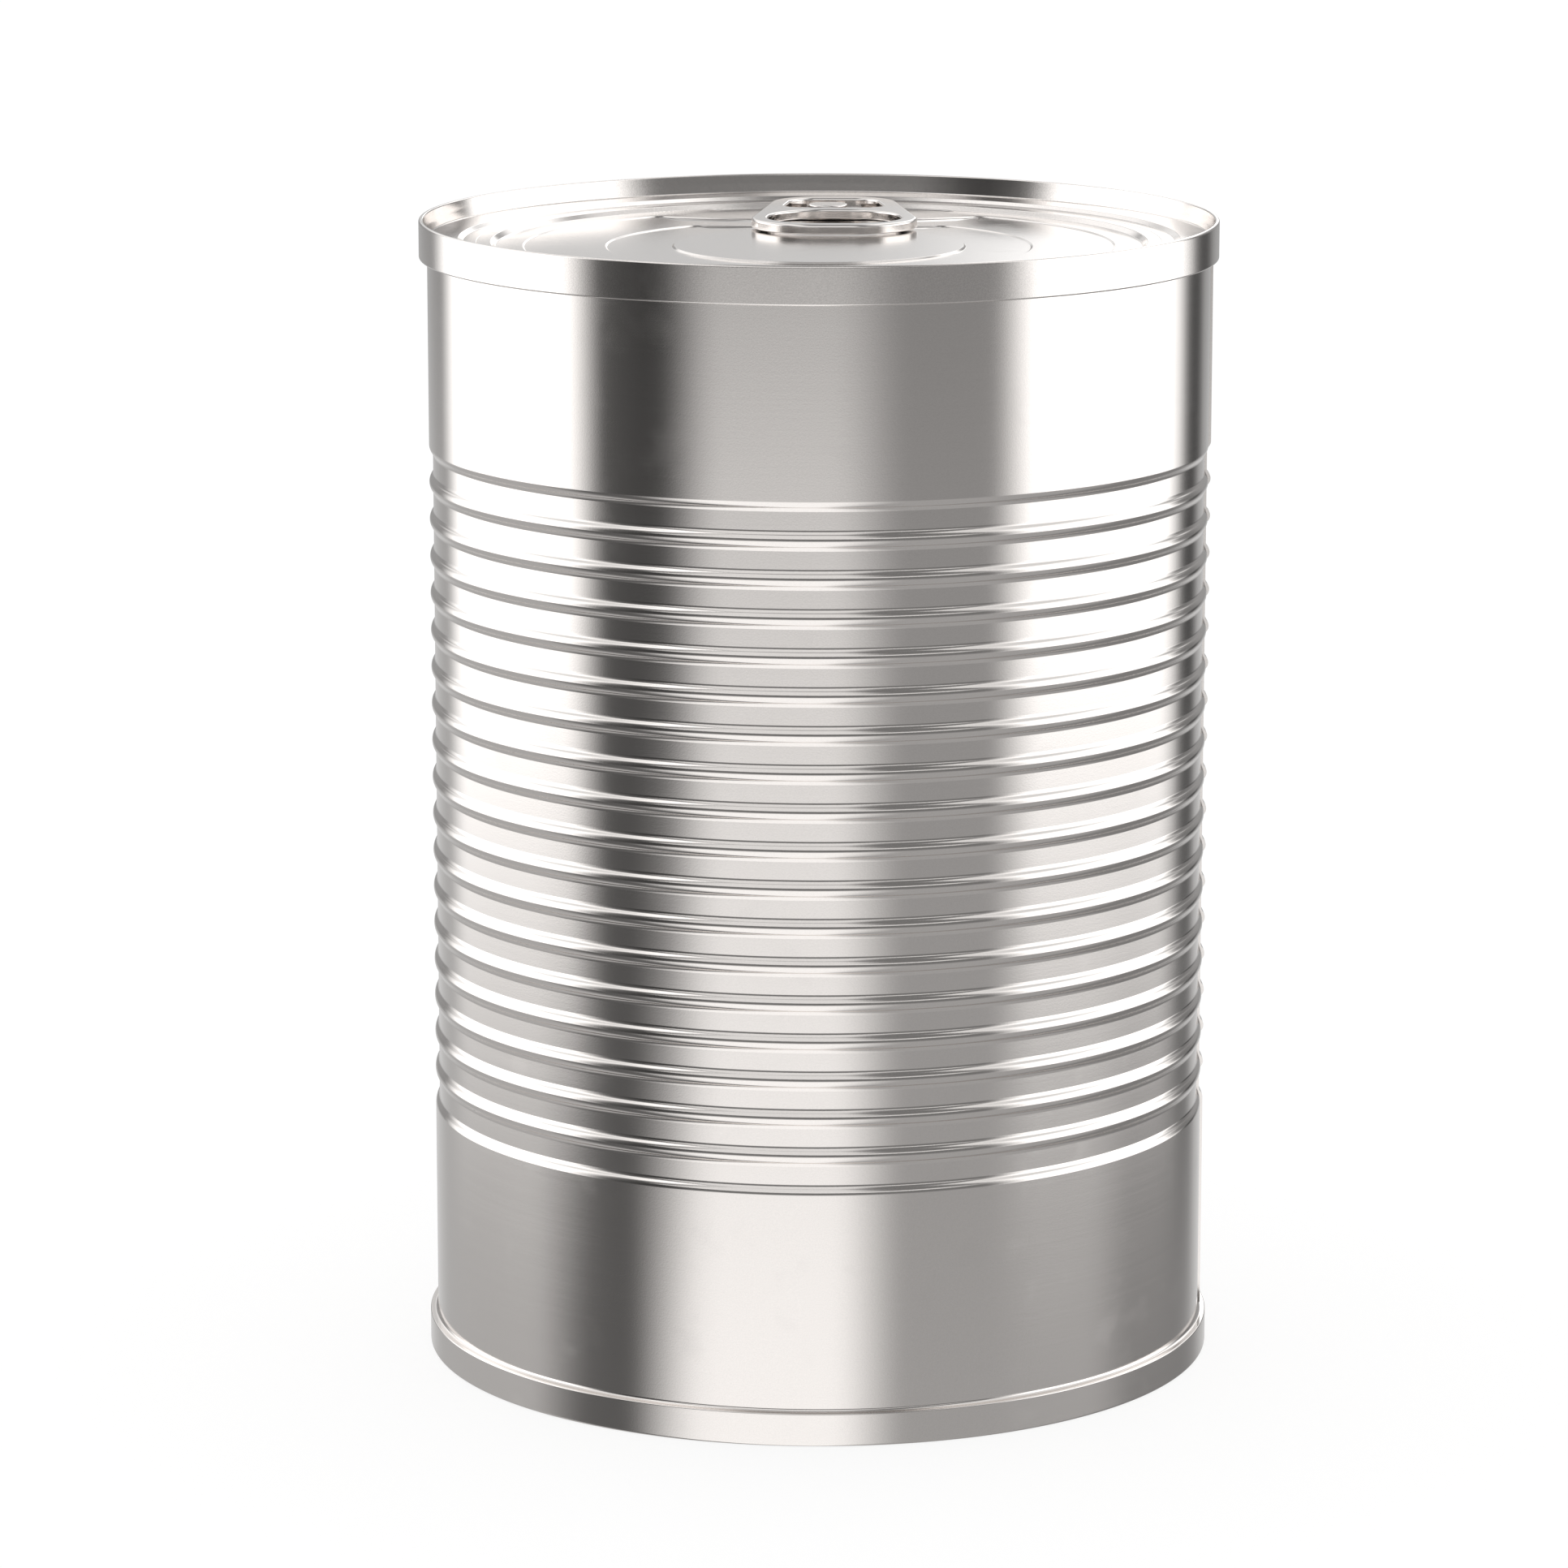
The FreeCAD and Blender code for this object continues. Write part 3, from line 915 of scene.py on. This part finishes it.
    def _panel(self) -> Skin:
        """Draws the pressed panel, in rings that follow the outlines.

        Returns:
            Its skin.
        """
        turns = np.radians(np.arange(self.panel_around) * 360.0 / self.panel_around)
        reaches = [outline.reach(turns) for outline in self._outlines()]
        rows = [np.full(len(turns), self.panel_radius - inset) for inset in self.panel_edge_rows]
        for i, reach in enumerate(reaches):
            if i > 0:
                rows.append((reaches[i - 1] + reach) / 2)
            run = self.press_run if i < 2 else self.platform_run
            parts = np.linspace(self.press_margin, -1.0 - self.press_margin, self.press_rows)
            rows += [reach + run * part for part in parts]
        rows += [reaches[-1] * part for part in self.panel_centre_rows]
        radii = np.stack(rows)
        places = self._stand(radii, turns, self._heights(radii, turns, reaches))
        normals = self._normals(radii, turns, reaches)
        skin = Skin()
        indices = [skin.add_row(row) for row in places]
        for i in range(len(rows) - 1):
            skin.strip(indices[i], indices[i + 1], normals[i], normals[i + 1])
        tip = skin.add_row(np.array([[0.0, 0.0, float(places[-1, :, 2].mean())]]))
        skin.strip(indices[-1], tip, normals[-1], normals[-1][:1])
        return skin

    @staticmethod
    def _stand(radii: Array, turns: Array, heights: Array) -> Array:
        """Points from their radii, directions and heights."""
        return np.stack([radii * np.cos(turns), radii * np.sin(turns), heights], axis=-1)

    def _normals(self, radii: Array, turns: Array, reaches: list[Array]) -> Array:
        """Normals of the panel, from short steps outward and around.

        Args:
            radii: distances from the axis.
            turns: directions from the axis.
            reaches: distances of the outlines.

        Returns:
            Unit normals.
        """
        step = 1e-4
        outside, inside = (
            self._stand(moved, turns, self._heights(moved, turns, reaches))
            for moved in (radii + step, radii - step)
        )
        ring = np.append(turns, 2 * math.pi)
        ends = []
        for shift in (step, -step):
            moved = (turns + shift) % (2 * math.pi)
            shifted = [np.interp(moved, ring, np.append(reach, reach[0])) for reach in reaches]
            ends.append(self._stand(radii, turns + shift, self._heights(radii, turns, shifted)))
        normals = np.cross(outside - inside, ends[0] - ends[1])
        return normals / np.linalg.norm(normals, axis=-1, keepdims=True)

    def _rivet(self) -> Skin:
        """Draws the rivet's shank and head.

        Returns:
            Its skin.
        """
        seat = self.sizes.panel_z + self.sizes.tongue_thickness
        top = seat + self.rivet_thickness
        corners = [
            (self.shank_radius, self.sizes.panel_z - self.shank_sink, 0.0),
            (self.shank_radius, seat, 0.0),
            (self.rivet_radius, seat, self.rivet_fillet),
            (self.rivet_radius, top, self.rivet_fillet),
            (0.0, top, 0.0),
        ]
        return Section.filleted(corners).turned(self.rivet_around, self.rivet_at)

    def skins(self) -> dict[str, Skin]:
        """The rim, the panel and the rivet."""
        rim = self._rim().turned(2 * self.sizes.around)
        return {"top_end_rim": rim, "top_end_panel": self._panel(), "rivet_head": self._rivet()}


@dataclass
class Outline:
    """A closed flat outline with round corners, anticlockwise."""

    corners: Sequence[Place]
    radii: Sequence[float]
    steps: int = 48

    def points(self) -> tuple[Array, Array]:
        """Follows the outline round its corners.

        Returns:
            Points along it and their outward directions.
        """
        places: list[Array] = []
        outward: list[Array] = []
        corners = [np.array(corner) for corner in self.corners]
        for i, (here, radius) in enumerate(zip(corners, self.radii)):
            back, onward = (
                (far - here) / np.linalg.norm(far - here)
                for far in (corners[i - 1], corners[(i + 1) % len(corners)])
            )
            half = math.acos(float(back @ onward)) / 2
            middle = (back + onward) / np.linalg.norm(back + onward)
            centre = here + middle * radius / math.sin(half)
            for turn in np.linspace(0.0, math.pi - 2 * half, self.steps + 1):
                side = np.array([-back[1], back[0]])
                out = side * math.cos(turn) - back * math.sin(turn)
                places.append(centre + out * radius)
                outward.append(out)
        return np.array(places), np.array(outward)


@dataclass
class PullTab(Part):
    """Ring pull held by the rivet."""

    nose_y: float = 31.3
    length: float = 24.7
    ring_half_width: float = 9.04
    nose_half_width: float = 5.58
    ring_corner: float = 6.6
    nose_corner: float = 5.2
    thickness: float = 1.06
    side_bar: float = 1.57
    rear_side_bar: float = 1.80
    front_bar: float = 1.7
    nose_bar: float = 2.0
    crossbar: float = 1.8
    hole_length: float = 11.35
    hole_front_corner: float = 5.0
    hole_back_corner: float = 5.6
    opening_front_corner: float = 1.9
    opening_back_corner: float = 2.6
    edge_fillet: float = 0.30
    lower_fillet: float = 0.12
    underside_gap: float = 0.12
    hole_fillet: float = 0.24
    relief_radius: float = 29.9
    relief_z: float = 107.95
    tongue_half_width: float = 2.7
    tongue_gap: float = 0.8
    tongue_clearance: float = 0.01
    tongue_rounding: float = 0.8
    tongue_back_corner: float = 0.1
    fillet_steps: int = 6

    @property
    def ring_y(self) -> float:
        """Front end of the tab."""
        return self.nose_y - self.length

    @property
    def opening_y(self) -> float:
        """Front edge of the rear opening."""
        return self.ring_y + self.front_bar + self.hole_length + self.crossbar

    def _tapered(self, ends: Place, corner_radii: Place, bar: float) -> Outline:
        """Four-sided outline that keeps a bar's width inside the tab's sides.

        Args:
            ends: its front and back edge.
            corner_radii: radius of the front and of the back corners.
            bar: width of the side bars.

        Returns:
            The outline.
        """
        widening = (self.nose_half_width - self.ring_half_width) / self.length
        near, far = (self.ring_half_width + widening * (y - self.ring_y) - bar for y in ends)
        return self._placed(near, far, ends, corner_radii)

    def _placed(self, near: float, far: float, ends: Place, corner_radii: Place) -> Outline:
        """Outline from half widths, in the tab's place.

        Args:
            near: half width at the front.
            far: half width at the back.
            ends: its front and back edge.
            corner_radii: radius of the front and of the back corners.

        Returns:
            The outline.
        """
        middle = self.sizes.tab_shift
        corners = [(middle - near, ends[0]), (middle + near, ends[0])]
        corners += [(middle + far, ends[1]), (middle - far, ends[1])]
        return Outline(corners, [corner_radii[0]] * 2 + [corner_radii[1]] * 2)

    def _edge(
        self, skin: Skin, outline: Outline, fillet: float, side: float
    ) -> tuple[Array, Array]:
        """Rounded edge along an outline, from the underside to the top.

        Args:
            skin: the mesh it goes into.
            outline: the outline at its widest.
            fillet: radius of the rounding along the top.
            side: 1 for the outside of the plate, -1 for a hole.

        Returns:
            Vertex numbers of the lowest and the highest row.
        """
        places, outward = outline.points()
        low = self.sizes.panel_z + self.underside_gap + self.lower_fillet
        high = self.sizes.panel_z + self.thickness - fillet
        rise = np.radians(np.linspace(-90.0, 0.0, self.fillet_steps + 1))
        indices = []
        normals = []
        for base, radius, turns in ((low, self.lower_fillet, rise), (high, fillet, -rise[::-1])):
            for turn in turns:
                flat = places + outward * side * radius * (math.cos(turn) - 1.0)
                height = np.full(len(flat), base + radius * math.sin(turn))
                over_ring = np.hypot(flat[:, 0], flat[:, 1]) > self.relief_radius
                height[over_ring] = np.maximum(height[over_ring], self.relief_z)
                indices.append(skin.add_row(np.column_stack([flat, height])))
                out = outward * side * math.cos(turn)
                normals.append(np.column_stack([out, np.full(len(out), math.sin(turn))]))
        for i in range(len(indices) - 1):
            first, second = (i, i + 1) if side > 0 else (i + 1, i)
            skin.strip(indices[first], indices[second], normals[first], normals[second])
        return indices[0], indices[-1]

    def _caps(self, skin: Skin, ends: Sequence[tuple[Array, Array]]) -> None:
        """Flat underside and top.

        Args:
            skin: the mesh they go into.
            ends: vertex numbers of the lowest and highest row of the outer edge and of each hole.
        """
        for loops, up in zip(zip(*ends), (-1.0, 1.0)):
            places = np.concatenate(skin.points)
            numbers = np.concatenate(loops)
            flat = [[Vector((*places[i][:2], 0.0)) for i in loop] for loop in loops]
            for corners in tessellate_polygon(flat):
                first, second, third = (numbers[i] for i in corners)
                one, two = places[second] - places[first], places[third] - places[first]
                if (one[0] * two[1] - one[1] * two[0]) * up < 0:
                    second, third = third, second
                skin.face((first, second, third), [np.array([0.0, 0.0, up])] * 3)

    def _plate(self) -> Skin:
        """Draws the ring, crossbar and nose.

        Returns:
            Their skin.
        """
        skin = Skin()
        nose = (self.ring_y, self.nose_y)
        ring_hole = (self.ring_y + self.front_bar, self.opening_y - self.crossbar)
        opening = (self.opening_y, self.nose_y - self.nose_bar)
        hole_corners = (self.hole_front_corner, self.hole_back_corner)
        opening_corners = (self.opening_front_corner, self.opening_back_corner)
        outer = self._tapered(nose, (self.ring_corner, self.nose_corner), 0.0)
        holes = (
            self._tapered(ring_hole, hole_corners, self.side_bar),
            self._tapered(opening, opening_corners, self.rear_side_bar),
        )
        ends = [self._edge(skin, outer, self.edge_fillet, 1.0)]
        ends += [self._edge(skin, hole, self.hole_fillet, -1.0) for hole in holes]
        self._caps(skin, ends)
        return skin

    def _tongue(self) -> Skin:
        """Draws the thin plate under the rivet's head.

        Returns:
            Its skin.
        """
        half = self.tongue_half_width
        ends = (self.opening_y + self.tongue_gap, self.nose_y - self.nose_bar / 2)
        corner_radii = (half * self.tongue_rounding, self.tongue_back_corner)
        places, outward = self._placed(half, half, ends, corner_radii).points()
        low = self.sizes.panel_z + self.tongue_clearance
        high = self.sizes.panel_z + self.sizes.tongue_thickness - self.tongue_clearance
        side = np.column_stack([outward, np.zeros(len(outward))])
        skin = Skin()
        rows = [skin.add_row(np.insert(places, 2, height, axis=1)) for height in (low, high)]
        skin.strip(*rows, side, side)
        self._caps(skin, [rows])
        return skin

    def skins(self) -> dict[str, Skin]:
        """The plate and its tongue."""
        return {"tab_ring": self._plate(), "tab_tongue": self._tongue()}


@dataclass
class BottomEnd(Part):
    """Bottom seam and ringed bottom panel."""

    seam_proud: float = 0.73
    top_fillet: float = 0.10
    foot_fillet: float = 0.25
    seam_thickness: float = 1.25
    wall_taper: float = 0.35
    groove_depth: float = 2.70
    groove_width: float = 1.30
    step_run: float = 0.90
    ring_depth: float = 1.55
    ring_width: float = 2.20
    panel_depth: float = 2.05
    panel_ring: float = 6.0
    centre_depth: float = 1.65
    fillet: float = 0.30

    def skins(self) -> dict[str, Skin]:
        """Draws the whole bottom end.

        Returns:
            Its only skin.
        """
        outer = self.sizes.body_radius + self.seam_proud
        foot = outer - self.seam_thickness
        corners = [
            (0.0, self.sizes.bottom_seam_height, 0.0),
            (outer, self.sizes.bottom_seam_height, self.top_fillet),
            (outer, 0.0, self.foot_fillet),
            (foot, 0.0, self.foot_fillet),
        ]
        radius = foot - self.wall_taper
        for depth, width in (
            (self.groove_depth, self.groove_width),
            (self.ring_depth, self.ring_width),
            (self.panel_depth, self.panel_ring),
        ):
            corners += [(radius, depth, self.fillet), (radius - width, depth, self.fillet)]
            radius -= width + self.step_run
        corners += [(radius, self.centre_depth, self.fillet), (0.0, self.centre_depth, 0.0)]
        return {"bottom_end_seam": Section.filleted(corners[::-1]).turned(self.sizes.around)}


# ---------------------------------------------------------------- studio
@dataclass(frozen=True)
class SoftPanel:
    """A soft-edged panel far from the can, given by the directions it fills.

    Azimuth 0 is the front (-Y) and 90 is +X; elevation 0 is the horizon. All angles are in degrees.
    The half width, low edge and high edge each come with the width of their soft border, and are
    None where the panel has no such edge.
    """

    name: str
    azimuth: float
    half_width: Place | None
    low: Place | None
    high: Place | None
    level: float


@dataclass
class Studio:
    """Floor, soft light and camera."""

    panels: tuple[SoftPanel, ...] = (
        SoftPanel("floor on the left", -130.0, (42.0, 26.0), None, (-9.0, 12.0), 0.47),
        SoftPanel("floor behind", 180.0, (20.0, 28.0), None, (-6.0, 16.0), 0.66),
        SoftPanel("wall behind", 180.0, (34.0, 20.0), (-6.0, 12.0), (40.0, 40.0), 0.34),
        SoftPanel("dark floor on the left", -66.0, (16.0, 24.0), None, (10.0, 20.0), 0.12),
        SoftPanel("dark floor on the right", 122.0, (24.0, 24.0), None, (-9.0, 12.0), 0.235),
        SoftPanel("bright floor in front", -15.5, (30.5, 24.0), None, (-9.8, 17.0), 1.16),
        SoftPanel("flag on the left", -50.0, (12.0, 22.0), (-14.0, 12.0), (52.0, 14.0), 0.05),
        SoftPanel("high screen in front", -14.0, (31.0, 16.0), (24.0, 6.0), (68.0, 12.0), 0.85),
        SoftPanel("low screen in front", -1.0, (48.0, 14.0), (20.0, 5.0), (29.0, 5.0), 0.9),
        SoftPanel("soft box on the left", -105.75, (32.75, 18.0), (-12.3, 6.5), (72.0, 20.0), 1.7),
        SoftPanel("top of the left box", -68.0, (16.0, 16.0), (42.0, 24.0), (76.0, 14.0), 1.5),
        SoftPanel("soft box on the right", 95.75, (35.75, 20.0), (-12.1, 7.0), (72.0, 20.0), 1.7),
        SoftPanel("upper left box", -105.75, (32.75, 18.0), (36.0, 20.0), (72.0, 20.0), 0.85),
        SoftPanel("upper right box", 95.75, (35.75, 20.0), (36.0, 20.0), (72.0, 20.0), 0.8),
        SoftPanel("low flag on the right", 145.5, (7.0, 12.0), (-14.0, 8.0), (-4.5, 5.0), 0.08),
        SoftPanel("high flag on the right", 136.0, (8.0, 12.0), (-4.5, 5.0), (11.0, 8.0), 0.2),
        SoftPanel("left screen behind", -152.0, (14.0, 10.0), (14.0, 10.0), (64.0, 10.0), 1.2),
        SoftPanel("right screen behind", 154.0, (13.0, 10.0), (17.0, 10.0), (64.0, 10.0), 1.45),
        SoftPanel("screen behind the lid", 180.0, (10.0, 8.0), (2.0, 6.0), (24.0, 14.0), 0.62),
        SoftPanel("edge light behind the lid", 173.5, (4.7, 3.2), (2.0, 5.0), (40.0, 10.0), 1.6),
        SoftPanel("edge light on the left", -171.5, (3.5, 5.0), (7.5, 4.0), (40.0, 10.0), 0.95),
        SoftPanel("overhead light", 0.0, None, (76.0, 12.0), None, 0.45),
    )
    sky_level: float = 0.19
    floor_level: float = 0.40
    horizon_from: float = -18.0
    floor_size: float = 6.0
    floor_shade: float = 0.28
    floor_glow: float = 0.745
    camera_at: tuple[float, float, float] = (0.0, -0.62108, 0.18231)
    camera_down_deg: float = 11.586
    camera_turn_deg: float = -0.306
    camera_range: Place = (0.01, 50.0)
    lens: float = 150.48
    sensor_width: float = 36.0

    def _mask(self, panel: SoftPanel, azimuth: Signal, elevation: Signal) -> Signal:
        """How much of a panel is seen in a direction.

        Args:
            panel: the panel.
            azimuth: direction round the can, in radians.
            elevation: direction above the horizon, in radians.

        Returns:
            0 outside the panel, 1 inside.
        """
        steps = []
        for angle, edge, side in (
            (azimuth.away_from(math.radians(panel.azimuth)), panel.half_width, -0.5),
            (elevation, panel.low, 0.5),
            (elevation, panel.high, -0.5),
        ):
            if edge is not None:
                place, border = math.radians(edge[0]), math.radians(edge[1]) * side
                steps.append(angle.smooth(place - border, place + border))
        return math.prod(steps)

    def light(self) -> None:
        """Lights the scene from soft panels all round; the backdrop itself is white."""
        world = bpy.data.worlds.new("studio")
        bpy.context.scene.world = world
        sheet = NodeSheet(world)
        x, y, z = sheet.split(sheet.add("ShaderNodeTexCoord", {}, {}, "Generated"))
        azimuth = x.angle_with(-y)
        elevation = z.arcsine()
        upward = elevation.smooth(math.radians(self.horizon_from), 0.0)
        level = sheet.between(upward, self.floor_level, self.sky_level)
        for panel in self.panels:
            level = sheet.between(self._mask(panel, azimuth, elevation), level, panel.level)
        backdrop, panels = (
            sheet.add("ShaderNodeBackground", {}, {"Color": WHITE, "Strength": strength})
            for strength in (1.0, level)
        )
        glossy = sheet.add("ShaderNodeLightPath", {}, {}, "Is Glossy Ray")
        lit = sheet.add("ShaderNodeMixShader", {}, {0: glossy, 1: backdrop, 2: panels})
        sheet.add("ShaderNodeOutputWorld", {}, {"Surface": lit})

    def floor(self) -> None:
        """Lays a plain pale floor that keeps the can's soft shadow."""
        half = self.floor_size / 2
        mesh = bpy.data.meshes.new("floor")
        corners = [(-half, -half, 0.0), (half, -half, 0.0), (half, half, 0.0), (-half, half, 0.0)]
        mesh.from_pydata(corners, [], [(0, 1, 2, 3)])
        made = put_in_scene("floor", mesh)
        paper = bpy.data.materials.new("floor_paper")
        sheet = NodeSheet(paper)
        shade = (self.floor_shade,) * 3 + (1.0,)
        matt = sheet.add("ShaderNodeBsdfDiffuse", {}, {"Color": shade})
        seen = sheet.add("ShaderNodeLightPath", {}, {}, "Is Camera Ray")
        glow = {"Color": WHITE, "Strength": seen * self.floor_glow}
        both = {0: matt, 1: sheet.add("ShaderNodeEmission", {}, glow)}
        surface = sheet.add("ShaderNodeAddShader", {}, both)
        sheet.add("ShaderNodeOutputMaterial", {}, {"Surface": surface})
        mesh.materials.append(paper)
        made.visible_glossy = False

    def camera(self) -> None:
        """Puts the camera in front of the can, a little above it and looking down."""
        lens = bpy.data.cameras.new("camera")
        lens.lens = self.lens
        lens.sensor_width = self.sensor_width
        lens.clip_start, lens.clip_end = self.camera_range
        made = put_in_scene("camera", lens)
        down, turn = math.radians(self.camera_down_deg), math.radians(self.camera_turn_deg)
        level = math.cos(down)
        ahead = Vector((math.sin(turn) * level, math.cos(turn) * level, -math.sin(down)))
        made.location = self.camera_at
        made.rotation_euler = ahead.to_track_quat("-Z", "Y").to_euler()
        bpy.context.scene.camera = made
        bpy.context.scene.view_settings.view_transform = "Standard"


def main() -> None:
    """Builds the can's pieces and the studio, in order."""
    logging.basicConfig(level=logging.INFO, format="%(message)s")
    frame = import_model()
    LOG.info("nodes: %s", ", ".join(sorted(frame["nodes"])))
    sizes = CanSizes()
    end_finish = Tinplate("tinplate_end", gloss=0.13, grain=Grain.ACROSS, speckle=1.3)
    parts = {
        "can_body": CanBody(sizes, Tinplate("tinplate_body")),
        "top_end": TopEnd(sizes, end_finish),
        "pull_tab": PullTab(sizes, Tinplate("tinplate_tab", gloss=0.13, grain=Grain.ACROSS)),
        "bottom_end": BottomEnd(sizes, Tinplate("tinplate_bottom")),
    }
    for node, part in parts.items():
        for piece in part.build():
            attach(piece, "root")
            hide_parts(node)
            LOG.info("%s: %d faces for %s", piece.name, len(piece.data.polygons), node)
    studio = Studio()
    studio.light()
    studio.floor()
    studio.camera()


if __name__ == "__main__":
    main()
